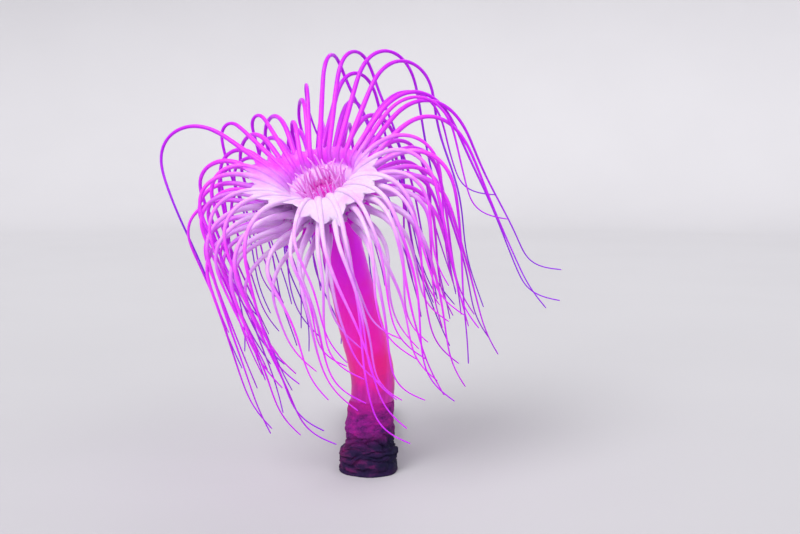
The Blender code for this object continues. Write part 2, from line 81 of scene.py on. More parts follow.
# crown of tentacles
SECTORS = 24
CYCLES = 4
SEED = 1000
STEP = 0.002  # of the walk along a tentacle
ALTERNATE = 3.5  # degrees by which cycles turn aside by turns, into the gaps between others
# by compass point (degrees, 0 right, 90 back): rise in degrees of the outer and the inner cycle, stem,
# bend of the outer and the inner cycle, height of the tip, drift to the right
COMPASS = [
    (0, 4, 52, 0.014, 0.054, 0.084, 0.095, 0.06),
    (45, 24, 64, 0.020, 0.060, 0.098, 0.085, 0.10),
    (90, 36, 80, 0.026, 0.058, 0.098, 0.085, 0.16),
    (135, 22, 50, 0.026, 0.058, 0.073, 0.080, 0.30),
    (180, -2, 28, 0.016, 0.065, 0.077, 0.050, 0.54),
    (225, -24, 2, 0.014, 0.063, 0.080, 0.045, 0.46),
    (270, -36, -24, 0.009, 0.042, 0.054, 0.050, 0.24),
    (315, -20, 10, 0.011, 0.048, 0.066, 0.085, 0.04),
]
# the tall and far-reaching ones, by (sector, cycle): rise, turn, stem, bend, tip height, drift, curl
LEADERS = {
    (12, 1): (2, 4, 0.014, 0.068, 0.060, 0.48, 0.0),
    (10, 3): (34, 4, 0.050, 0.092, 0.070, 0.50, 0.0),
    (9, 3): (34, -8, 0.060, 0.034, 0.100, 0.30, 0.1),
    (8, 3): (42, -10, 0.052, 0.034, 0.110, 0.25, 0.1),
    (7, 3): (60, -14, 0.026, 0.044, 0.120, 0.20, 0.0),
    (6, 3): (74, -10, 0.040, 0.062, 0.172, 0.32, 0.2),
    (5, 3): (82, -24, 0.055, 0.064, 0.110, 0.32, 0.2),
    (5, 2): (70, -46, 0.046, 0.068, 0.110, 0.20, 0.2),
    (4, 3): (78, -18, 0.055, 0.072, 0.100, 0.20, 0.1),
    (3, 3): (72, -24, 0.054, 0.084, 0.090, 0.12, 0.0),
    (2, 3): (65, -4, 0.051, 0.088, 0.080, 0.14, 0.3),
    (2, 2): (58, -6, 0.031, 0.092, 0.172, 0.16, 1.5),
    (1, 3): (55, -3, 0.034, 0.094, 0.100, 0.34, 1.2),
    (1, 2): (52, -4, 0.032, 0.090, 0.120, 0.37, 1.4),
    (0, 3): (56, 4, 0.036, 0.080, 0.160, 0.14, 1.3),
    (0, 2): (46, 6, 0.030, 0.078, 0.110, 0.32, 0.3),
}
LONGEST = 0.29
ROOTED = 0.016  # over which a tentacle turns from its facet's normal to its own course
FALL = -84.0  # degrees, at the end of the bend
HANG = (0.45, 0.50)  # start and length of the change to hanging, as shares of the bend
RIPPLE = 0.10  # wavelength of the waves in its hanging part
CURLED = 0.040  # of a tentacle's end
CURL_LIFT = 0.6
FRONT_CURL = 0.6  # more of a curl in the tentacles at the front
SEGMENT = 0.0245  # length of a straight run in a tentacle
FEWEST = 7  # runs in a tentacle
BEND_WEIGHT = 0.9  # how strongly runs are shortened where it bends
ROOT_RADIUS = (0.0029, 0.0029, 0.0028, 0.0027)  # half diagonals at the root, by cycle
ROOT_ROOM = 0.0021  # kept clear round the root itself
TIP_RADIUS = 0.00055
TAPER = 1.9

# spreading, which sets the tentacles clear of each other
CLEARANCE = 0.0004
SPREAD_ROUNDS = 150
NEARBY = 0.008  # runs further apart than this aren't compared
PUSH = 0.35  # share of an overlap that one round takes away
LONGEST_PUSH = 0.002
EASING = 0.35  # share of a push that the next points take on
FIRST_FREE = 0.4  # how freely the first point after a root moves
SKIN_ROOM = 0.001  # kept clear round the column

# labial tentacles, round the mouth
LABIAL_LENGTH = 0.0175
LABIAL_RADIUS = 0.0009
LABIAL_TAPER = 0.35
LABIAL_SPLAY = (16.0, 2.0)  # degrees from the disc's axis, for the outer and the inner ring
LABIAL_LEAN = (0.3, 1.7)  # share of that splay at the root and at the tip
LABIAL_BOW = 34.0  # degrees by which one may bow out or in
LABIAL_TWIST = 60.0  # degrees by which one may turn to a side
LABIAL_SEED = 1700
LABIAL_RUNS = 3
LABIAL_RINGS = 2


# ---------------- curves
def unit(v):
    v = np.asarray(v, float)
    return v / np.linalg.norm(v)


def smooth(x):
    x = np.clip(x, 0, 1)
    return x * x * (3 - 2 * x)


def fading(values, start, length):
    """1 up to the start, then down to 0 over a length."""
    return 1 - smooth((values - start) / length)


def catmull_rom(a, b, c, d, t):
    """Point at share t of the way from b to c."""
    return 0.5 * (2 * b + (c - a) * t + (2 * a - 5 * b + 4 * c - d) * t**2 + (3 * b - a - 3 * c + d) * t**3)


def rows_at(wanted, known, table):
    """Rows of a table, interpolated from the known values to the wanted ones."""
    return np.stack([np.interp(wanted, known, column) for column in table.T], axis=1)


def sizes(rows):
    return np.linalg.norm(rows, axis=1)


def along_line(line):
    """Length from a line's start to each of its points."""
    return np.concatenate([[0], np.cumsum(sizes(np.diff(line, axis=0)))])


def steps_of(line):
    """Length of each step of a line, and by how much it turns before that step."""
    legs = np.diff(line, axis=0)
    lengths = sizes(legs)
    ways = legs / lengths[:, None]
    turns = np.zeros(len(legs))
    turns[1:] = np.arccos(np.clip((ways[1:] * ways[:-1]).sum(1), -1, 1))
    return lengths, turns


def full_turn(steps):
    """Angles at equal steps round a circle."""
    return [2 * math.pi * k / steps for k in range(steps)]


def ring_frame(normal):
    """Two axes across a ring, the first towards +X, and its normal."""
    first = unit(np.cross([0, 1, 0], normal))
    return np.stack([first, np.cross(normal, first), normal])


def azimuth_at(sector):
    """Degrees round the disc, 0 to the right and 90 to the back."""
    return 360 / SECTORS * (sector + 0.5)


def disc_normal():
    left, forward = math.radians(TILT_LEFT), math.radians(TILT_FORWARD)
    return unit([-math.sin(left), -math.sin(forward) * math.cos(left), math.cos(forward) * math.cos(left)])


DISC = ring_frame(disc_normal())


def from_disc(azimuth, outwards, upwards):
    a = math.radians(azimuth)
    return np.array([outwards * math.cos(a), outwards * math.sin(a), upwards]) @ DISC


def disc_point(azimuth, radius, height):
    return np.array(DISC_CENTRE) + from_disc(azimuth, radius, height)


def disc_direction(azimuth, outwards, upwards):
    return unit(from_disc(azimuth, outwards, upwards))


def spine(share):
    """Point and direction of the column's spine, which ends along the disc's axis."""
    points = [np.array(p) for p in SPINE] + [disc_point(0, 0, RIM[0][1] - GAP)]
    points = [2 * points[0] - points[1]] + points + [points[-1] + disc_normal() * SPINE_END]
    spans = len(points) - 3
    i = min(int(share * spans), spans - 1)
    t = share * spans - i
    a, b, c, d = points[i:i + 4]
    place = catmull_rom(a, b, c, d, t)
    slope = 0.5 * ((c - a) + 2 * (2 * a - 5 * b + 4 * c - d) * t + 3 * (3 * b - a - 3 * c + d) * t**2)
    return place, unit(slope)


def column_radius(share):
    return np.interp(share, *zip(*COLUMN_RADII))


# ---------------- the crown's tentacles, as centre lines
def compass(azimuth):
    """Habit of a tentacle at this azimuth, smoothly between the compass points."""
    step = 360 / len(COMPASS)
    i = int(azimuth // step) % len(COMPASS)
    t = smooth(azimuth % step / step)
    here, there = np.array(COMPASS[i][1:]), np.array(COMPASS[(i + 1) % len(COMPASS)][1:])
    return here * (1 - t) + there * t


def habit(sector, cycle):
    """How one tentacle grows: its angles in degrees, lengths, and small irregularities."""
    random = np.random.default_rng(SEED + sector * 7 + cycle * 131)
    azimuth = azimuth_at(sector)
    outer, inner, stem, bend_outer, bend_inner, tip, drift = compass(azimuth)
    share = cycle / (CYCLES - 1)
    grown = dict(
        azimuth=azimuth,
        turn=(ALTERNATE if cycle % 2 else -ALTERNATE) + random.uniform(-3, 3),
        rise=outer + (inner - outer) * share + random.uniform(-6, 6),
        stem=stem + random.uniform(-0.004, 0.004),
        bend=(bend_outer + (bend_inner - bend_outer) * share) * random.uniform(0.88, 1.12),
        tip=tip + random.uniform(-0.025, 0.045),
        drift=drift + random.uniform(-0.10, 0.12),
        sway=random.uniform(-0.10, 0.10),
        wave=random.uniform(0.04, 0.26),
        phase=random.uniform(0, 2 * math.pi),
        curl=random.uniform(-0.2, 0.4) + FRONT_CURL * max(0.0, -math.sin(math.radians(azimuth))),
        side=random.uniform(-8, 8),
    )
    leader = LEADERS.get((sector, cycle))
    if leader:
        grown.update(zip(("rise", "turn", "stem", "bend", "tip", "drift", "curl"), leader))
    return grown


def facet(sector, cycle):
    """Centre and normal of the rim's facet that this tentacle grows from."""
    azimuth = azimuth_at(sector)
    (r0, h0), (r1, h1) = RIM[cycle + 1], RIM[cycle + 2]
    half = math.cos(math.pi / SECTORS)
    centre = disc_point(azimuth, (r0 + r1) / 2 * half, (h0 + h1) / 2)
    return centre, disc_direction(azimuth, h1 - h0, (r0 - r1) * half)


def walk(sector, cycle):
    """Centre line of a tentacle as a walk of equal steps: stem, arch, and a hanging end."""
    g = habit(sector, cycle)
    place, normal = facet(sector, cycle)
    outwards = disc_direction(g["azimuth"], 1, 0)
    heading = math.atan2(outwards[1], outwards[0]) + math.radians(g["turn"])
    rise, fall = math.radians(g["rise"]), math.radians(FALL)
    line = [place]
    gone, ended = 0.0, 0.0
    while gone < LONGEST and ended < CURLED:
        slope = rise + (fall - rise) * smooth((gone - g["stem"]) / g["bend"])
        course = heading + math.radians(g["side"]) * smooth(gone / (g["stem"] + g["bend"]))
        flat = np.array([math.cos(course), math.sin(course), 0.0])
        across = np.array([-flat[1], flat[0], 0.0])
        way = flat * math.cos(slope) + np.array([0, 0, math.sin(slope)])
        rooted = smooth(1 - gone / ROOTED)
        way = unit(way * (1 - rooted) + normal * rooted)
        hang = smooth((gone - g["stem"] - HANG[0] * g["bend"]) / (HANG[1] * g["bend"]))
        ripple = g["wave"] * math.sin((gone - g["stem"]) / RIPPLE * 2 * math.pi + g["phase"])
        way = way + hang * (np.array([g["drift"], g["sway"], 0.0]) + ripple * across)
        way = way + smooth(ended / CURLED) * g["curl"] * np.array([1.0, 0.0, CURL_LIFT])
        place = place + unit(way) * STEP
        line.append(place)
        gone += STEP
        if ended or (hang == 1 and place[2] < g["tip"] + CURLED):
            ended += STEP
    return np.array(line)


def sample(line):
    """Points along a fine line, closer together where it bends, and their shares of it."""
    lengths, turns = steps_of(line)
    weight = lengths / lengths.sum() + BEND_WEIGHT * turns / max(turns.sum(), 1.0)
    measure = np.concatenate([[0], np.cumsum(weight)])
    runs = max(FEWEST, round(lengths.sum() / SEGMENT))
    wanted = np.linspace(0, measure[-1], runs + 1)
    along = along_line(line)
    shares = np.interp(wanted, measure, along) / along[-1]
    return rows_at(shares * along[-1], along, line), shares


def radius_at(share, cycle):
    return TIP_RADIUS + (ROOT_RADIUS[cycle] - TIP_RADIUS) * (1 - share) ** TAPER


def labial_line(sector, ring):
    """A short tentacle of the disc, in its outer or inner ring."""
    random = np.random.default_rng(LABIAL_SEED + sector + ring * SECTORS)
    (r0, h0), (r1, h1) = DISC_DISH[ring], DISC_DISH[ring + 1]
    place = disc_point(azimuth_at(sector), (r0 + r1) / 2 * math.cos(math.pi / SECTORS), (h0 + h1) / 2)
    azimuth = azimuth_at(sector) + random.uniform(-8, 8)
    splay = LABIAL_SPLAY[ring] + random.uniform(-7, 7)
    bow, twist = LABIAL_BOW * random.uniform(-1, 1), LABIAL_TWIST * random.uniform(-1, 1)
    run = LABIAL_LENGTH * random.uniform(0.75, 1.1) / LABIAL_RUNS
    line = [place]
    for k, lean in enumerate(np.linspace(*LABIAL_LEAN, LABIAL_RUNS)):
        bent = (k / (LABIAL_RUNS - 1)) ** 2
        leaning = math.radians(splay * lean + bow * bent)
        way = disc_direction(azimuth + twist * bent, math.sin(leaning), math.cos(leaning))
        line.append(line[-1] + way * run)
    return np.array(line)


def labial_radii():
    return np.array([LABIAL_RADIUS * (1 - LABIAL_TAPER * k / LABIAL_RUNS) for k in range(LABIAL_RUNS + 1)])


def closest(a0, a1, b0, b1):
    """Shares along two sets of segments where each pair comes closest."""
    u, v, w = a1 - a0, b1 - b0, a0 - b0
    uu, uv, vv = (u * u).sum(1), (u * v).sum(1), (v * v).sum(1)
    uw, vw = (u * w).sum(1), (v * w).sum(1)
    bottom = np.maximum(uu * vv - uv * uv, 1e-16)
    s = np.clip((uv * vw - vv * uw) / bottom, 0, 1)
    t = np.clip((uv * s + vw) / np.maximum(vv, 1e-16), 0, 1)
    s = np.clip((uv * t - uw) / np.maximum(uu, 1e-16), 0, 1)
    return s, t


def on_segment(values, start, share):
    return values[start] + (values[start + 1] - values[start]) * share


def spread(lines, radii, fixed):
    """Push lines apart until each keeps clear of the others by its radius. Roots and fixed lines stay."""
    owner = np.concatenate([[k] * len(line) for k, line in enumerate(lines)])
    points, radius = np.concatenate(lines), np.concatenate(radii)
    order = np.concatenate([np.arange(len(line)) for line in lines])
    loose = owner < len(lines) - fixed
    free = np.where(order == 0, 0.0, np.where(order == 1, FIRST_FREE, 1.0)) * loose
    start = np.flatnonzero(owner[:-1] == owner[1:])
    first, second = start[np.stack(np.triu_indices(len(start), 1))]
    wanted = (owner[first] != owner[second]) & (loose[first] | loose[second])
    first, second = first[wanted], second[wanted]
    inner = (order > 0) & (np.append(owner[1:], -1) == owner)
    for _ in range(SPREAD_ROUNDS):
        middle = (points[:-1] + points[1:]) / 2
        reach = sizes(points[1:] - points[:-1]) / 2
        near = ((middle[first] - middle[second]) ** 2).sum(1) < (reach[first] + reach[second] + NEARBY) ** 2
        a, b = first[near], second[near]
        s, t = closest(points[a], points[a + 1], points[b], points[b + 1])
        gap = on_segment(points, a, s[:, None]) - on_segment(points, b, t[:, None])
        far = np.maximum(sizes(gap), 1e-7)
        short = on_segment(radius, a, s) + on_segment(radius, b, t) + CLEARANCE - far
        hit = short > 0
        if not hit.any():
            break
        a, b, s, t = a[hit], b[hit], s[hit], t[hit]
        push = (gap[hit] / far[hit][:, None]) * short[hit][:, None] * PUSH
        move = np.zeros_like(points)
        for end, share in ((a, 1 - s), (a + 1, s), (b, t - 1), (b + 1, -t)):
            np.add.at(move, end, push * share[:, None])
        move *= np.minimum(1.0, LONGEST_PUSH / np.maximum(sizes(move), 1e-9))[:, None]
        eased = move.copy()
        eased[1:-1] += np.where(inner[1:-1, None], EASING * (move[:-2] + move[2:]), 0)
        points = points + eased * free[:, None]
    return np.split(points, np.cumsum([len(line) for line in lines])[:-1])


def crown():
    """Centre line and radii of every tentacle, set apart. The labial ones' rings count as cycles."""
    keys, lines, radii = [], [], []
    for sector in range(SECTORS):
        for cycle in range(CYCLES):
            places, shares = sample(walk(sector, cycle))
            keys.append((sector, cycle))
            lines.append(places)
            radii.append(np.array([ROOT_ROOM] + [radius_at(share, cycle) for share in shares[1:]]))
        for ring in range(LABIAL_RINGS):
            keys.append((sector, CYCLES + ring))
            lines.append(labial_line(sector, ring))
            radii.append(labial_radii())
    along = np.linspace(0, 1, 9)
    lines.append(np.array([spine(share)[0] for share in along]))
    radii.append(np.array([column_radius(share) + SKIN_ROOM for share in along]))
    apart = spread(lines, radii, fixed=1)
    return {key: (line, radius) for key, line, radius in zip(keys, apart, radii)}


# ---------------- the skin's sizes
ROUNDED = 0.66  # radius that subdivision leaves, as a share of a cage's half diagonal
SOLID_TO_SKIN = 1.2  # half diagonal of a tentacle's solid, in true radii
RUN = 0.0085  # longest run of a tentacle's cage
TURN_PER_RUN = math.radians(26)
FIRST_RUN = 0.0034  # from a facet to the first ring of its tentacle
LABIAL_STATIONS = 9
LABIAL_SKIN = 0.85  # radius of a labial tentacle's skin, in its solid's
COLUMN_RINGS = 34
RIM_STALK = (1.0, 1.0, 1.0, 0.0, 0.0, 0.0)  # how far the column's colour reaches up the rim
ROOT_STALK = (0.016, 0.009, 0.0001, 0.0001)  # and along a tentacle, by cycle
DISH_FLOOR = (0.0, 1.0, 1.0, 1.0)  # which rings of the dish take the floor's colour
BURIED = 0.004  # of the column's skin, inside the sleeve
LEVELLED = 0.1  # share of the column over which its rings tilt to its course
SHIFT_WINDOW = 21  # steps over which a tentacle's shift is smoothed
ROOT_SWELL = (0.16, 0.26, 0.42, 0.42)  # by which a tentacle is thicker at its root, by cycle
BACK_SLIMNESS = 0.22  # by which it is thinner there, behind the mouth
SWELL_LENGTH = 0.042
BEHIND = (0.75, 0.15)  # how sharply the front passes into the back, and the turn of that
BULGE = (0.05, 0.016)  # size and length of a tentacle's slight swellings
TIP_SHARE = 0.6  # of its last radius, left at its rounded tip
SKIN_SEED = 4000
WEB_LENGTHS = (0.018, 0.052)  # of the skin between neighbours, where it is shortest and longest
WEB_LONGEST_AT = math.radians(235)  # compass point
WEB_SHARES = (0.08, 0.13, 0.30, 0.85)  # of those lengths, between neighbours in one cycle
FOLD_SHARES = (0.08, 0.14, 0.22)  # between those of one cycle and of the next one in
WEB_GAP = 0.0175  # it ends where they are further apart than this
WEB_NOTCH = 0.36  # share of its length by which its edge draws back
WEB_THICKNESS = 0.56  # at its sides, as a share of theirs
WEB_SAG = 0.25  # share of that which it loses between them
WEB_PLACE = 0.75  # where it lies, in sectors from its first neighbour's side
WEB_FULLNESS = 1.1  # how soon it reaches its full length on the way there
WEB_STEPS = 25  # along its neighbours
WEB_LEAST = 0.2  # share of its length below which it is left out
WEB_ROUNDING = 1.5  # power of the curve of its edge and of its sag
WEB_THINNING = 0.97  # share of its squared thickness that is gone at its edge
LONG_WEB = 0.5  # share of the length above which it has the finer grid
LONG_WEB_GRID = (7, 7)  # columns across it and rows along it
SHORT_WEB_GRID = (5, 4)
LABIAL_BLEND = 0.3  # share of a labial tentacle that keeps some of the floor's colour
LABIAL_TIP = 0.7  # of its last radius
LABIAL_FOOT = 0.45  # its foot, as a share of the facet that it stands on
BLUSH = (0.02, 0.25)  # a tentacle's colour at its root, and how much further it is behind the mouth
BLUSH_LENGTH = 0.20  # over which it goes all the way
BLUSH_CURVE = 0.85
BLUSH_BY_TONE = 0.12
PALE_ROOT = (0.05, 1.5)  # length that stays pale in front, and how fast it shortens to the back
WRINKLES = ((0.00022, 160, (1, 1, 5)), (0.00045, 55, (1, 1, 1.6)))  # depth, scale and stretch


# ---------------- the tentacles' fine lines
def arc_shares(line):
    """Share of its length at each point of a line."""
    along = along_line(line)
    return along / along[-1]


def smoothed(values, window):
    """Values along a line, smoothed over a window, with both ends kept."""
    half = min(window // 2, len(values) - 1)
    before = 2 * values[0] - values[half:0:-1]
    after = 2 * values[-1] - values[-2:-2 - half:-1]
    padded = np.concatenate([before, values, after])
    weight = np.hanning(2 * half + 3)[1:-1]
    weight /= weight.sum()
    return np.stack([np.convolve(padded[:, k], weight, "valid") for k in range(3)], axis=1)


def fine_line(sector, cycle, placed):
    """A tentacle's fine line, carried along with the points that were set apart."""
    line = walk(sector, cycle)
    places, shares = sample(line)
    shift = rows_at(arc_shares(line), shares, placed - places)
    return line + smoothed(smoothed(shift, SHIFT_WINDOW), SHIFT_WINDOW)


def stations(line):
    """Shares along a fine line of its cage's rings, closer together where it bends."""
    lengths, turns = steps_of(line)
    measure = np.concatenate([[0], np.cumsum(lengths / RUN + turns / TURN_PER_RUN)])
    along = along_line(line)
    first = np.interp(FIRST_RUN, along, measure)
    wanted = np.linspace(first, measure[-1], math.ceil(measure[-1] - first) + 1)
    return np.concatenate([[0], np.interp(wanted, measure, along) / along[-1]])


def points_at(line, shares):
    return rows_at(shares, arc_shares(line), line)


def curve_through(points, count):
    """Points evenly along a Catmull-Rom curve through the given ones."""
    points = np.concatenate([[2 * points[0] - points[1]], points, [2 * points[-1] - points[-2]]])
    made = []
    for u in np.linspace(0, len(points) - 3, count):
        i = min(int(u), len(points) - 4)
        made.append(catmull_rom(*points[i:i + 4], u - i))
    return np.array(made)


# ---------------- the skin's cage
def bridge(bm, *rings):
    """Quads between each closed ring of vertices and the next."""
    for lower, upper in zip(rings, rings[1:]):
        for k in range(len(lower)):
            m = (k + 1) % len(lower)
            bm.faces.new((lower[k], lower[m], upper[m], upper[k]))


class Cage:
    """A bmesh with the marks that the skin's colours are worked out from."""

    MARKS = ("stalk", "blush", "floor", "lip")

    def __init__(self):
        self.bm = bmesh.new()
        self.layers = {name: self.bm.verts.layers.float.new(name) for name in self.MARKS}

    def ring(self, places, **marks):
        """New vertices, with one value of a mark for all, or one for each."""
        made = [self.bm.verts.new(place) for place in places]
        for name, values in marks.items():
            for vert, value in zip(made, np.broadcast_to(values, len(made))):
                vert[self.layers[name]] = value
        return made

    def disc_ring(self, half_length, half_width, height, **marks):
        return self.ring(oval(DISC_CENTRE, DISC, half_length, half_width, height), **marks)

    def grow(self, root, line, radii, across, marks):
        """Extrude a four-sided tube from four vertices along a line, with marks for each ring."""
        ways = [unit(line[1] - line[0])]
        ways += [unit(unit(b - a) + unit(c - b)) for a, b, c in zip(line, line[1:], line[2:])]
        ways.append(unit(line[-1] - line[-2]))
        signs = []
        for vert in root:
            arm = np.array(vert.co) - line[0]
            signs.append((np.sign(arm @ across), np.sign(arm @ np.cross(ways[0], across))))
        last = root
        for k in range(1, len(line)):
            across = unit(across - ways[k] * (across @ ways[k]))
            over = np.cross(ways[k], across)
            half = radii[k] / math.sqrt(2)
            places = [line[k] + half * (i * across + j * over) for i, j in signs]
            ring = self.ring(places, **{name: values[k] for name, values in marks.items()})
            bridge(self.bm, last, ring)
            last = ring
        self.bm.faces.new(last)

    def inset(self, root, share):
        """A smaller quad inside the one between four vertices, with the faces round it."""
        middle = sum((vert.co for vert in root), Vector()) / 4
        inner = []
        for vert in root:
            made = self.bm.verts.new(middle + (vert.co - middle) * share)
            for layer in self.layers.values():
                made[layer] = vert[layer]
            inner.append(made)
        bridge(self.bm, root, inner)
        return inner


def share_at(height):
    """Share of the spine that lies below this height."""
    low, high = 0.0, 1.0
    for _ in range(40):
        middle = (low + high) / 2
        low, high = (middle, high) if spine(middle)[0][2] < height else (low, middle)
    return low


def skin_column_rings(cage):
    """Rings of the column, from inside the sleeve to just under the rim."""
    start, bare = share_at(SLEEVE_TOP - BURIED), share_at(SLEEVE_TOP + GAP)
    rings = []
    for k in range(COLUMN_RINGS):
        share = start + (1 - start) * k / COLUMN_RINGS
        centre, way = spine(share)
        level = smooth((share - start) / LEVELLED)
        way = unit(way * level + np.array([0, 0, 1.0]) * (1 - level))
        radius = column_radius(max(0.0, (share - bare) / (1 - bare)))
        rings.append(cage.ring(oval(centre, ring_frame(way), radius, radius), stalk=1.0))
    return rings


def oval(centre, axes, half_length, half_width, height=0.0):
    """Places at equal angles round an oval, across the third of these axes."""
    arms = [(half_width * math.cos(a), half_length * math.sin(a), height) for a in full_turn(SECTORS)]
    return np.array(centre) + np.array(arms) @ axes


def behind_mouth(sector):
    """1 for the tentacles behind the mouth, 0 for those in front of it."""
    sharpness, turn = BEHIND
    return smooth(0.5 + sharpness * math.sin(math.radians(azimuth_at(sector)) + turn))


def blush_along(sector, lengths, tone):
    """How far the colour has gone from pale (0) to blue-violet (1) at each length along a tentacle."""
    start = BLUSH[0] + BLUSH[1] * behind_mouth(sector)
    pale_length, shortening = PALE_ROOT
    pale = pale_length * (0.5 - 0.5 * math.sin(math.radians(azimuth_at(sector)))) ** shortening
    gone = np.clip((lengths - pale) / BLUSH_LENGTH, 0, 1) ** BLUSH_CURVE
    return start + (1 - start) * gone * (1 + BLUSH_BY_TONE * tone)


def skin_radii(shares, length, sector, cycle):
    """Radius of a tentacle's skin, thicker at its root in front and thinner there behind."""
    radii = np.array([radius_at(share, cycle) for share in shares]) / SOLID_TO_SKIN
    behind = behind_mouth(sector)
    swell = ROOT_SWELL[cycle] * (1 - behind) - BACK_SLIMNESS * behind
    return radii * (1 + swell * fading(shares * length, 0, SWELL_LENGTH))


def line_length(line):
    return along_line(line)[-1]


def own_random(sector, cycle):
    return np.random.default_rng(SKIN_SEED + sector * 5 + cycle)


def long_tentacle(cage, root, sector, cycle, line):
    random = own_random(sector, cycle)
    shares = stations(line)
    length = line_length(line)
    tone = random.uniform(-1, 1)
    radii = skin_radii(shares, length, sector, cycle) / ROUNDED
    bulge, bulge_length = BULGE
    radii *= 1 + bulge * np.sin(shares * length / bulge_length * 2 * math.pi + random.uniform(0, 6))
    centres = points_at(line, shares)
    tip = centres[-1].copy()
    centres[-1] -= unit(tip - centres[-2]) * TIP_RADIUS
    centres = np.concatenate([centres, [tip]])
    radii = np.append(radii, radii[-1] * TIP_SHARE)
    lengths = np.append(shares, 1.0) * length
    marks = {"blush": blush_along(sector, lengths, tone),
             "stalk": fading(lengths, 0, ROOT_STALK[cycle])}
    across = disc_direction(azimuth_at(sector) + 90, 1, 0)
    cage.grow(root, centres, radii, across, marks)


def web_length(sector):
    """Full length of the webs here, which grows towards one compass point."""
    azimuth = math.radians(360 / SECTORS * (sector + WEB_PLACE))
    facing = 0.5 + 0.5 * math.cos(azimuth - WEB_LONGEST_AT)
    return np.interp(smooth(facing * WEB_FULLNESS), (0, 1), WEB_LENGTHS)


def web_side(key, line, fine):
    """Place, radius and blush of a web's side, inside a tentacle, at these lengths along it."""
    length = line_length(line)
    shares = fine / length
    blush = blush_along(key[0], fine, own_random(*key).uniform(-1, 1))
    return np.column_stack([points_at(line, shares), skin_radii(shares, length, *key), blush])


def web_row(tracks, index, across):
    """Values at these steps of two sides, mixed from one to the other, and the way between them."""
    one, other = (rows_at(index, np.arange(len(track)), track) for track in tracks)
    return one * (1 - across[:, None]) + other * across[:, None], other - one


def web(cage, pair, share, lines):
    """Skin that joins two tentacles for a short way, thinner and shorter between them."""
    fine = np.linspace(0, web_length(pair[0][0]) * share, WEB_STEPS)
    tracks = [web_side(key, lines[key], fine) for key in pair]
    apart = sizes((tracks[0] - tracks[1])[:, :3])
    reach = 1.0 if apart.max() < WEB_GAP else np.argmax(apart > WEB_GAP) / len(fine)
    if reach < WEB_LEAST:
        return
    columns, rows = LONG_WEB_GRID if share > LONG_WEB else SHORT_WEB_GRID
    across = np.linspace(0, 1, columns)
    between_them = 1 - np.abs(2 * across - 1) ** WEB_ROUNDING
    rings = []
    for row in np.linspace(0, 1, rows):
        index = row * reach * (1 - WEB_NOTCH * between_them) * (len(fine) - 1)
        middle, sideways = web_row(tracks, index, across)
        ahead, _ = web_row(tracks, index + 1, across)
        over = np.cross((ahead - middle)[:, :3], sideways[:, :3])
        over /= np.maximum(sizes(over), 1e-9)[:, None]
        edge = math.sqrt(1 - WEB_THINNING * row**3)
        half = over * (middle[:, 3] * WEB_THICKNESS * (1 - WEB_SAG * between_them) * edge)[:, None]
        places = np.concatenate([middle[:, :3] + half, (middle[:, :3] - half)[::-1]])
        rings.append(cage.ring(places, blush=np.concatenate([middle[:, 4], middle[::-1, 4]])))
    bridge(cage.bm, *rings)
    cage.bm.faces.new(reversed(rings[0]))
    cage.bm.faces.new(rings[-1])


def labial_tentacle(cage, root, placed):
    line = curve_through(placed, LABIAL_STATIONS)
    shares = np.linspace(0, 1, LABIAL_STATIONS)
    radii = np.interp(shares, np.linspace(0, 1, LABIAL_RUNS + 1), labial_radii()) * LABIAL_SKIN / ROUNDED
    radii[-1] *= LABIAL_TIP
    blend = smooth(shares / LABIAL_BLEND)
    marks = {"lip": blend, "floor": 1 - blend}
    cage.grow(root, line, radii, unit(root[1].co - root[0].co), marks)


def skin_cage():
    cage = Cage()
    tentacles = {key: line for key, (line, _) in crown().items()}
    rings = skin_column_rings(cage)
    rim = [cage.disc_ring(r, r, h, stalk=value) for (r, h), value in zip(RIM, RIM_STALK)]
    dish = [cage.disc_ring(r, r, h, floor=value) for (r, h), value in zip(DISC_DISH, DISH_FLOOR)]
    mouth = [cage.disc_ring(*size, floor=1.0) for size in MOUTH]
    bridge(cage.bm, *rings, *rim[:2])
    lines = {(sector, cycle): fine_line(sector, cycle, tentacles[sector, cycle])
             for cycle in range(CYCLES) for sector in range(SECTORS)}
    for cycle in range(CYCLES):
        low, high = rim[cycle + 1:cycle + 3]
        for sector in range(SECTORS):
            m = (sector + 1) % SECTORS
            root = [low[sector], low[m], high[m], high[sector]]
            long_tentacle(cage, root, sector, cycle, lines[sector, cycle])
            web(cage, [(sector, cycle), (m, cycle)], WEB_SHARES[cycle], lines)
            if cycle:
                inward, outward = (sector, cycle), (sector, cycle - 1)
                beyond = (m if cycle % 2 else (sector - 1) % SECTORS, cycle - 1)
                web(cage, [outward, inward], FOLD_SHARES[cycle - 1], lines)
                web(cage, [inward, beyond], FOLD_SHARES[cycle - 1], lines)
    bridge(cage.bm, rim[-1], dish[0])
    for ring in range(LABIAL_RINGS):
        low, high = dish[ring:ring + 2]
        for sector in range(SECTORS):
            m = (sector + 1) % SECTORS
            root = cage.inset([low[sector], low[m], high[m], high[sector]], LABIAL_FOOT)
            labial_tentacle(cage, root, tentacles[sector, CYCLES + ring])
    bridge(cage.bm, *dish[LABIAL_RINGS:], *mouth)
    cage.bm.faces.new(mouth[-1])
    cage.bm.faces.new(reversed(rings[0]))
    return cage


# ---------------- meshes
def add(name, data):
    made = bpy.data.objects.new(name, data)
    bpy.context.scene.collection.objects.link(made)
    return made


def link(name, bm, finish):
    """A smooth object from a bmesh, which is freed."""
    mesh = bpy.data.meshes.new(name)
    bm.to_mesh(mesh)
    bm.free()
    mesh.materials.append(finish)
    mesh.shade_smooth()
    return add(name, mesh)


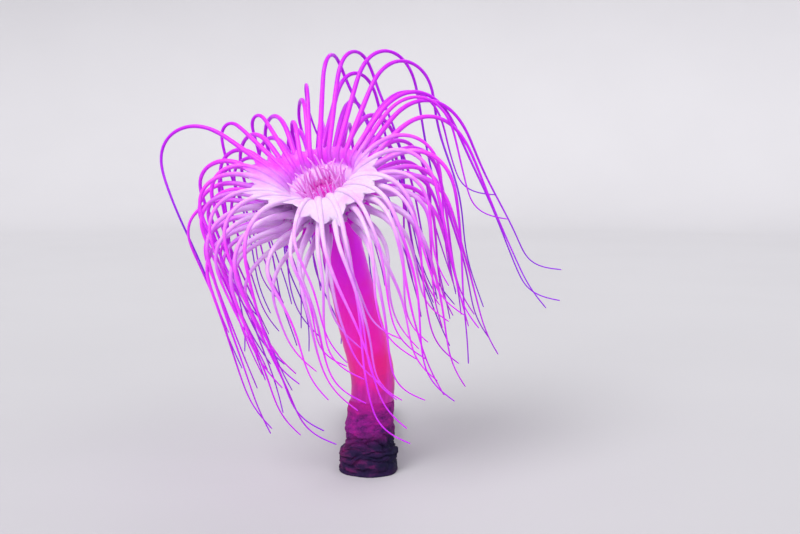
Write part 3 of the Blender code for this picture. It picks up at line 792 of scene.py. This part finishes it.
def applied(made):
    """Replace an object's mesh by what its modifiers make of it."""
    graph = bpy.context.evaluated_depsgraph_get()
    mesh = bpy.data.meshes.new_from_object(made.evaluated_get(graph), preserve_all_data_layers=True,
                                           depsgraph=graph)
    made.modifiers.clear()
    made.data = mesh
    mesh.shade_smooth()
    return made


def vertex_values(mesh, name):
    """Each vertex's place ("co") or normal."""
    flat = np.empty(len(mesh.vertices) * 3)
    mesh.vertices.foreach_get(name, flat)
    return flat.reshape(-1, 3)


def mark(mesh, name):
    values = np.empty(len(mesh.vertices))
    mesh.attributes[name].data.foreach_get("value", values)
    return values


def move_in(mesh, depths):
    """Sink each vertex below its surface by its own depth."""
    moved = vertex_values(mesh, "co") - vertex_values(mesh, "normal") * depths[:, None]
    mesh.vertices.foreach_set("co", moved.ravel())
    mesh.update()


def grain(places, scale, stretch=(1, 1, 1), octaves=2):
    """Noise from 0 to 1 at each place, with features of about 1/scale metres."""
    scaled = places * scale * np.array(stretch)
    values = [noise.fractal(Vector(p), 1.0, 2.0, octaves) for p in scaled]
    return np.clip(np.array(values) * 0.5 + 0.5, 0, 1)


def anemone_skin(finish):
    bm = skin_cage().bm
    bmesh.ops.recalc_face_normals(bm, faces=bm.faces)
    made = link("anemone_skin", bm, finish)
    made.modifiers.new("rounded", "SUBSURF").levels = 2
    applied(made)
    wrinkle_column(made.data)
    return made


def wrinkle_column(mesh):
    """Fine rings and folds that sink into the column's skin."""
    stalk = mark(mesh, "stalk")
    chosen = np.flatnonzero(stalk > 0.01)
    places = vertex_values(mesh, "co")[chosen]
    depths = np.zeros(len(stalk))
    folds = sum(depth * grain(places, scale, stretch) for depth, scale, stretch in WRINKLES)
    depths[chosen] = folds * smooth(stalk[chosen])
    move_in(mesh, depths)


# ---------------- the felt tube
SLEEVE_RINGS = 12
FELT_TURN = full_turn(96)  # angles round the upright shells
LYING_SIDES = 48
LYING_RINGS = 21
FELT_VOXEL = 0.0007
FELT_OVERLAP = 0.003  # by which its three shells run into each other
FELT_LOFT = 0.0007  # by which it stands out before its folds sink in
LIP_THICKNESS = 0.0003  # of the sleeve's edge, where it clings to the column
LIP_START = 0.8  # share of the sleeve's height where it draws in
SLEEVE_RAGGED = 0.0035  # how far its top edge dips
SLEEVE_DIPS = ((0.5, 3, 7.0), (0.4, 9, 3.0))  # size, waves and seed of the dips
FLAPS = 22  # torn edges of felt that stand away from the tube
FLAP_HEIGHTS = (0.004, 0.040)  # of their roots
FLAP_SPANS = (22, 70)  # degrees round the tube
FLAP_DEPTHS = (0.003, 0.0065)  # from a root down to its torn edge
FLAP_STANDS = (0.0008, 0.0024)  # how far the edge stands away
FLAP_THICKNESS = 0.0016
FLAP_SECTIONS = 14
FLAP_TILT = 0.004
FLAP_STARTS = (120, 420)  # degrees: anywhere but at the back
FLAP_CLOSING = (0.06, 0.94)  # part of a half wave that its depth follows
FLAP_ROUNDING = 0.6
FLAP_TEAR = 0.3  # share of its depth by which its edge is torn
FLAP_WAVES = ((9, 1), (17, 1.5), (31, 2))  # waves and evenness of that edge
FLAP_STEPS = (0, 0.35, 0.7, 1)  # from its root to that edge
FELT_SEED = 77
UPRIGHT_FADES = (0.012, 0.012)  # where the upright tube passes into the lying one, and over what length
UPRIGHT_ROLLS = (66, (0.9, 0.9, 2.6))  # scale and stretch
LYING_ROLLS = (70, (0.6, 3.5, 0.6))
ROLL_SLANT = 0.014  # how far the upright rolls rise and fall
SLANT_SCALE = 34
CREASE_SHARPNESS = 7
CREASE_DEPTH = 0.0022
HIGH_CREASES = 0.25  # share of that depth above the collar
ROLLS_FADE = (0.020, 0.012)  # height where creases get shallow, and over what length
LUMP_DEPTH = 0.0009
LUMP_SCALE = 95
CLINGING_FADES = (SLEEVE_TOP - 0.012, 0.008)  # height where the smooth lip starts, and over what length
FUZZ_DEPTH = 0.00025
FUZZ_SCALE = 700
FOOT_FLAT = 0.003  # height over which the folds start above the floor


def shell(bm, rings):
    """A closed shell through rings of places."""
    made = [[bm.verts.new(place) for place in ring] for ring in rings]
    bridge(bm, *made)
    bm.faces.new(reversed(made[0]))
    bm.faces.new(made[-1])


def collar_rings():
    for height, share in COLLAR_PROFILE:
        ring = []
        for a in FELT_TURN:
            lobes = sum(size * math.sin(count * a + turn) for count, turn, size in COLLAR_LOBES)
            radius = COLLAR_RADIUS * share * (1 + lobes) + FELT_LOFT
            ring.append((radius * math.cos(a), min(radius * math.sin(a), COLLAR_BACK), height * COLLAR_TOP))
        yield ring


def sleeve_rings():
    bottom = COLLAR_TOP - FELT_OVERLAP
    for share in np.linspace(0, 1, SLEEVE_RINGS):
        radius = SLEEVE_RADIUS * np.interp(share, *zip(*SLEEVE_PROFILE)) + FELT_LOFT
        lip = smooth((share - LIP_START) / (1 - LIP_START))
        radius = radius * (1 - lip) + (column_radius(0) + LIP_THICKNESS) * lip
        ring = []
        for a in FELT_TURN:
            dip = 0.5
            for size, waves, seed in SLEEVE_DIPS:
                dip += size * noise.noise(Vector((waves * math.cos(a), waves * math.sin(a), seed)))
            top = SLEEVE_TOP - SLEEVE_RAGGED * min(max(dip, 0), 1)
            z = bottom + (top - bottom) * share
            centre, _ = spine(share_at(z))
            ring.append((centre[0] + radius * math.cos(a), centre[1] + radius * math.sin(a), z))
        yield ring


def upright_radius(height):
    """Rough radius of the collar or the sleeve at this height."""
    if height < COLLAR_TOP:
        return COLLAR_RADIUS * np.interp(height / COLLAR_TOP, *zip(*COLLAR_PROFILE))
    share = (height - COLLAR_TOP) / (SLEEVE_TOP - COLLAR_TOP)
    return SLEEVE_RADIUS * np.interp(share, *zip(*SLEEVE_PROFILE))


def flap_rings(random):
    """Sections of one flap, from end to end: rooted above, torn and standing off below."""
    root, start = random.uniform(*FLAP_HEIGHTS), random.uniform(*FLAP_STARTS)
    span, depth = random.uniform(*FLAP_SPANS), random.uniform(*FLAP_DEPTHS)
    stand, tilt = random.uniform(*FLAP_STANDS), random.uniform(-FLAP_TILT, FLAP_TILT)
    tear = random.uniform(0, 6, 3)
    centre, _ = spine(share_at(root))
    for u in np.linspace(0, 1, FLAP_SECTIONS):
        a = math.radians(start + span * u)
        fullness = math.sin(math.pi * np.interp(u, (0, 1), FLAP_CLOSING)) ** FLAP_ROUNDING
        ragged = 1 + FLAP_TEAR * sum(math.sin(f * u + t) / k for (f, k), t in zip(FLAP_WAVES, tear))
        ring = []
        for side in (1, -1):
            for v in FLAP_STEPS[::side]:
                z = max(root + tilt * (u - 0.5) - depth * fullness * ragged * v, 0.001)
                radius = upright_radius(root) + stand * fullness * v**1.5 + side * FLAP_THICKNESS / 2
                ring.append((centre[0] + radius * math.cos(a),
                             min(centre[1] + radius * math.sin(a), COLLAR_BACK), z))
        yield ring


def rear_rings():
    shares = [math.sin(math.pi / 2 * k / (LYING_RINGS - 1)) for k in range(LYING_RINGS)]
    for share in [-2 * FELT_OVERLAP / REAR_LENGTH] + shares:
        width, height = (start + (end - start) * share for start, end in (REAR_RADII, REAR_HEIGHTS))
        closing = math.sqrt(1 - max(0.0, (share - REAR_END) / (1 - REAR_END)) ** 2 * REAR_CLOSED)
        ring = []
        for k in range(LYING_SIDES):
            a = 2 * math.pi * (k / LYING_SIDES - 0.25)
            z = max(0.0, height * (REAR_MIDDLE + (1 - REAR_MIDDLE) * math.sin(a)))
            x = REAR_SWAY * share**2 + width * closing * math.cos(a)
            y = COLLAR_BACK + GAP + REAR_LENGTH * share
            ring.append((x, y, height * REAR_MIDDLE * (1 - closing) + z * closing))
        yield ring


def felt_depths(places):
    """How far the felt sinks in at each place: creases between its rolls, lumps and fuzz."""
    height = places[:, 2]
    upright = fading(places[:, 1], *UPRIGHT_FADES)
    slanted = places + np.outer(ROLL_SLANT * (grain(places, SLANT_SCALE) - 0.5), (0, 0, 1))
    rolls = grain(slanted, *UPRIGHT_ROLLS) * upright + grain(places, *LYING_ROLLS) * (1 - upright)
    creases = 1 - np.clip(np.abs(rolls - 0.5) * CREASE_SHARPNESS, 0, 1)
    creases *= HIGH_CREASES + (1 - HIGH_CREASES) * fading(height, *ROLLS_FADE)
    folds = CREASE_DEPTH * creases + LUMP_DEPTH * grain(places, LUMP_SCALE)
    folds *= fading(height, *CLINGING_FADES)
    return (folds + FUZZ_DEPTH * grain(places, FUZZ_SCALE)) * smooth(height / FOOT_FLAT)


def felt_tube(finish):
    """Collar, sleeve and lying tube as one body of felt, with folds that sink into it."""
    bm = bmesh.new()
    random = np.random.default_rng(FELT_SEED)
    flaps = [flap_rings(random) for _ in range(FLAPS)]
    for rings in [collar_rings(), sleeve_rings(), rear_rings()] + flaps:
        shell(bm, rings)
    bmesh.ops.recalc_face_normals(bm, faces=bm.faces)
    made = link("felt_tube", bm, finish)
    remesh = made.modifiers.new("joined", "REMESH")
    remesh.mode = "VOXEL"
    remesh.voxel_size = FELT_VOXEL * 1
    made.modifiers.new("softened", "SMOOTH").iterations = 4
    applied(made)
    move_in(made.data, felt_depths(vertex_values(made.data, "co")))
    return made


# ---------------- materials
def supply(socket, value):
    """Give a socket a value, or link another node's socket to it."""
    if isinstance(value, bpy.types.NodeSocket):
        socket.id_data.links.new(value, socket)
    else:
        socket.default_value = value


class Nodes:
    """Short ways to add and join shader nodes."""

    def __init__(self, name):
        self.material = bpy.data.materials.new(name)
        self.material.use_nodes = True
        self.tree = self.material.node_tree

    def fill(self, node, **inputs):
        """Supply a node's sockets by their names, with _ for a space."""
        for name, value in inputs.items():
            supply(node.inputs[name.replace("_", " ")], value)
        return node

    def new(self, kind, **inputs):
        return self.fill(self.tree.nodes.new("ShaderNode" + kind), **inputs)

    def finish(self, **inputs):
        self.fill(self.tree.nodes["Principled BSDF"], **inputs)
        return self.material

    def mark(self, name):
        node = self.new("Attribute")
        node.attribute_name = name
        return node.outputs["Fac"]

    def place(self):
        return self.new("TexCoord").outputs["Object"]

    def axes(self):
        return self.new("SeparateXYZ", Vector=self.place()).outputs

    def noise(self, scale, detail=3.0, stretch=None, roughness=0.55):
        place = self.place()
        if stretch:
            place = self.new("Mapping", Vector=place, Scale=stretch).outputs["Vector"]
        node = self.new("TexNoise", Vector=place, Scale=scale, Detail=detail, Roughness=roughness)
        return node.outputs["Fac"]

    def waver(self, size, *noise):
        """Noise of this size, above and below 0."""
        return self.math("MULTIPLY", self.math("SUBTRACT", self.noise(*noise), 0.5), size)

    def math(self, operation, a, b, clamp=False):
        node = self.new("Math")
        node.operation = operation
        node.use_clamp = clamp
        supply(node.inputs[0], a)
        supply(node.inputs[1], b)
        return node.outputs[0]

    def ramp(self, factor, stops):
        node = self.new("ValToRGB", Fac=factor)
        node.color_ramp.interpolation = "EASE"
        elements = node.color_ramp.elements
        while len(elements) < len(stops):
            elements.new(0.5)
        for element, (position, colour) in zip(elements, stops):
            element.position = position
            element.color = (*colour, 1.0)
        return node.outputs["Color"]

    def span(self, factor, low, high):
        """0 to 1 as the factor goes from low to high."""
        node = self.new("MapRange", Value=factor, From_Min=low, From_Max=high)
        node.interpolation_type = "SMOOTHSTEP"
        return node.outputs["Result"]

    def mix(self, factor, a, b):
        node = self.new("Mix")
        node.data_type = "RGBA"
        for socket, value in ((0, factor), (6, a), (7, b)):  # where a colour mix has them
            supply(node.inputs[socket], (*value, 1.0) if isinstance(value, tuple) else value)
        return node.outputs[2]

    def bump(self, height, strength, distance):
        return self.new("Bump", Height=height, Strength=strength, Distance=distance).outputs["Normal"]


def skin_material():
    n = Nodes("living skin")
    blush = n.math("ADD", n.mark("blush"), n.waver(0.22, 90, 3))
    tentacle = n.ramp(blush, [
        (0.00, (0.81, 0.54, 0.89)),
        (0.10, (0.78, 0.37, 0.91)),
        (0.20, (0.74, 0.19, 0.92)),
        (0.34, (0.80, 0.05, 0.92)),
        (0.60, (0.58, 0.008, 0.84)),
        (1.00, (0.25, 0.012, 0.68)),
    ])
    tentacle = n.mix(n.mark("lip"), tentacle, (0.86, 0.38, 0.84))
    floor = n.math("MULTIPLY", n.mark("floor"), n.math("ADD", n.noise(260, 2), 0.25), clamp=True)
    crown_colour = n.mix(n.span(floor, 0.25, 0.75), tentacle, (0.62, 0.02, 0.48))
    level = n.math("ADD", n.axes()["Z"], n.waver(0.05, 55, 4))
    column = n.ramp(n.span(level, 0.045, 0.175), [
        (0.00, (0.46, 0.004, 0.30)),
        (0.14, (0.86, 0.003, 0.27)),
        (0.45, (0.97, 0.003, 0.50)),
        (1.00, (0.97, 0.004, 0.97)),
    ])
    streaks = n.span(n.noise(120, 4, (1.0, 1.0, 0.18)), 0.42, 0.70)
    column = n.mix(n.math("MULTIPLY", streaks, 0.45), column, (0.95, 0.02, 0.66))
    base = n.mix(n.span(n.mark("stalk"), 0.35, 0.65), crown_colour, column)
    pores = n.bump(n.math("ADD", n.noise(900, 3), n.noise(380, 2, (1.0, 1.0, 3.0))), 0.25, 0.0004)
    return n.finish(Base_Color=base, Normal=pores, Roughness=0.38, Specular_IOR_Level=0.35,
                    Subsurface_Weight=0.4, Subsurface_Scale=0.004, Subsurface_Radius=(1.0, 0.35, 0.9))


def felt_material():
    n = Nodes("mucus felt")
    axes = n.axes()
    coarse = n.noise(75, 5, (1.0, 1.0, 2.6), 0.65)
    # painted light: the felt is paler and pinker towards the left (-X), where the key light falls; this
    # gradient is added to its coarse mottling
    left = n.math("MULTIPLY", axes["X"], -6.0)
    dark = n.ramp(n.math("ADD", coarse, left), [
        (0.36, (0.005, 0.002, 0.030)),
        (0.52, (0.018, 0.003, 0.045)),
        (0.66, (0.090, 0.006, 0.080)),
        (0.84, (0.220, 0.010, 0.130)),
    ])
    level = n.math("ADD", axes["Z"], n.waver(0.016, 90, 4))
    # painted light: the same left-side gradient lets the paler upper colour reach lower on the left
    level = n.math("ADD", level, n.math("MULTIPLY", left, 0.03))
    mottled = n.ramp(n.noise(150, 5, (1.0, 1.0, 1.6), 0.7), [
        (0.34, (0.075, 0.003, 0.110)),
        (0.52, (0.260, 0.005, 0.220)),
        (0.72, (0.560, 0.008, 0.300)),
    ])
    base = n.mix(n.span(level, 0.019, 0.036), dark, mottled)
    base = n.mix(n.span(level, 0.040, 0.056), base, (0.46, 0.004, 0.24))
    fuzz = n.bump(n.math("ADD", n.noise(1400, 4, None, 0.7), n.noise(500, 3, (1.0, 1.0, 3.0))), 0.6, 0.0006)
    return n.finish(Base_Color=base, Normal=fuzz, Roughness=0.8, Specular_IOR_Level=0.25)


def floor_material():
    n = Nodes("pale floor")
    mottling = n.ramp(n.noise(3, 2), [(0.3, (0.512, 0.502, 0.522)), (0.7, (0.522, 0.512, 0.532))])
    return n.finish(Base_Color=mottling, Roughness=0.9)


# ---------------- the stage
def soft_sun(name, come_from, softness, strength):
    """Even light from one side. The softness is its width in degrees."""
    light = bpy.data.lights.new(name, "SUN")
    light.angle = math.radians(softness)
    light.energy = strength
    add(name, light).rotation_euler = (-Vector(come_from)).to_track_quat("-Z", "Y").to_euler()


SWEEP_START = 2.4  # how far from the animal the floor curves up into the backdrop
SWEEP_RADIUS = 0.9
SWEEP_STEPS = 24
SWEEP_SIDES = 96
BACKDROP_TOP = 1.35


def sweep_profile():
    """The floor, a quarter turn up, and an upright backdrop, as (radius, height)."""
    turn = [math.pi / 2 * k / SWEEP_STEPS for k in range(SWEEP_STEPS + 1)]
    curve = [(SWEEP_START + SWEEP_RADIUS * math.sin(a), SWEEP_RADIUS * (1 - math.cos(a))) for a in turn]
    return [(SWEEP_START - SWEEP_RADIUS / SWEEP_STEPS, 0.0)] + curve + [(curve[-1][0], BACKDROP_TOP)]


def studio():
    """A round pale floor that curves up into a backdrop on all sides."""
    mesh = bmesh.new()
    rings = [[mesh.verts.new((radius * math.cos(a), radius * math.sin(a), height))
              for a in full_turn(SWEEP_SIDES)] for radius, height in sweep_profile()]
    mesh.faces.new(rings[0])
    bridge(mesh, *reversed(rings))
    link("studio_floor", mesh, floor_material())


def lighting():
    """A pale world, a key light from the left, and weaker ones from low in front, right and behind."""
    world = bpy.data.worlds.new("studio")
    world.use_nodes = True
    background = world.node_tree.nodes["Background"]
    background.inputs["Color"].default_value = (0.80, 0.80, 0.84, 1)
    background.inputs["Strength"].default_value = 0.6
    bpy.context.scene.world = world
    soft_sun("key", (-0.55, -0.75, 1.0), 35, 2.15)
    soft_sun("low", (-0.45, -0.85, 0.47), 20, 0.7)
    soft_sun("fill", (0.9, -0.8, 0.80), 50, 0.9)
    soft_sun("back", (0.3, 0.9, 0.9), 50, 0.6)


def camera():
    """The camera, at the photograph's viewing angle."""
    lens = bpy.data.cameras.new("camera")
    lens.lens = 50
    lens.sensor_width = 36
    made = add("camera", lens)
    made.location = (0.022, -0.770, 0.2255)
    made.rotation_euler = (math.radians(84), 0, 0)
    bpy.context.scene.camera = made
    bpy.context.scene.view_settings.view_transform = "Standard"


# ---------------- the whole
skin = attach(anemone_skin(skin_material()), "root")
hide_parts(*[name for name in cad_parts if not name.startswith("tube_")])
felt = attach(felt_tube(felt_material()), "root")
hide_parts(*[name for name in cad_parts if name.startswith("tube_")])
studio()
lighting()
camera()
